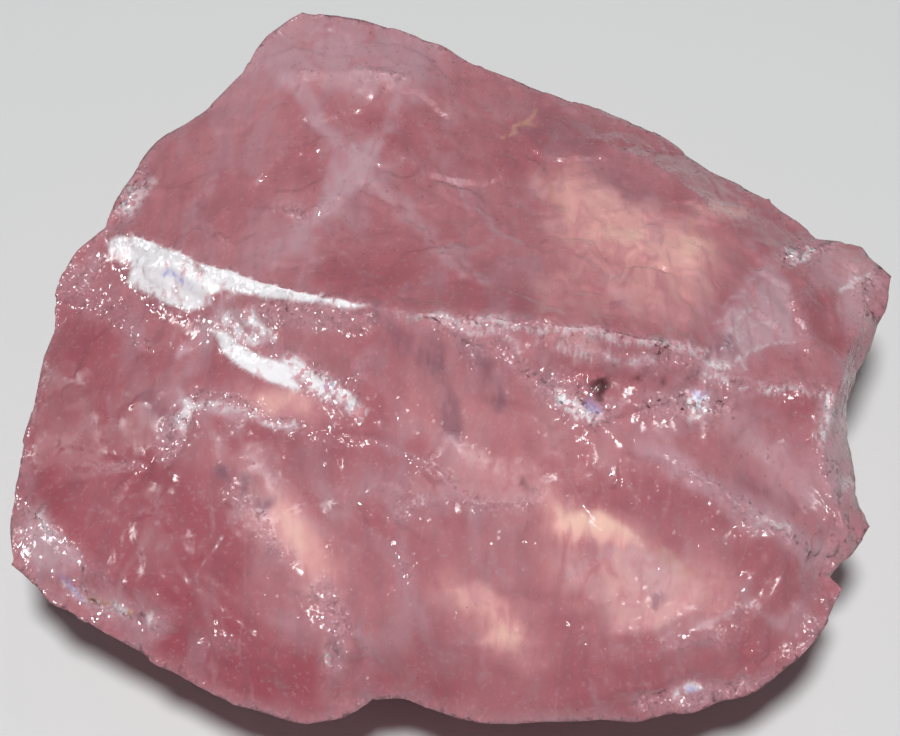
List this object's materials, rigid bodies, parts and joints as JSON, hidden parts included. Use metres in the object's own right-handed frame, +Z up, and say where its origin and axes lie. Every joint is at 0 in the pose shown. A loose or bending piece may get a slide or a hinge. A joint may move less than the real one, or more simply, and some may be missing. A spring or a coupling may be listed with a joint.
{
  "type": "rose quartz chunk",
  "caption": "Rough chunk of rose quartz with smooth broken faces, a long ridge across its top and milky veils inside. It lies on a flat broken face.",
  "frame": {"origin": "middle of the bounding box at the flat resting face", "axes": "+X to the right along the longest side, +Y away from the pictured front, +Z up"},
  "size_m": [0.084, 0.0706, 0.0372],
  "materials": {
    "rose_quartz": "glassy broken faces"
  },
  "bodies": {
    "root": {"rose_quartz_chunk": "rose_quartz"}
  },
  "joints": []
}
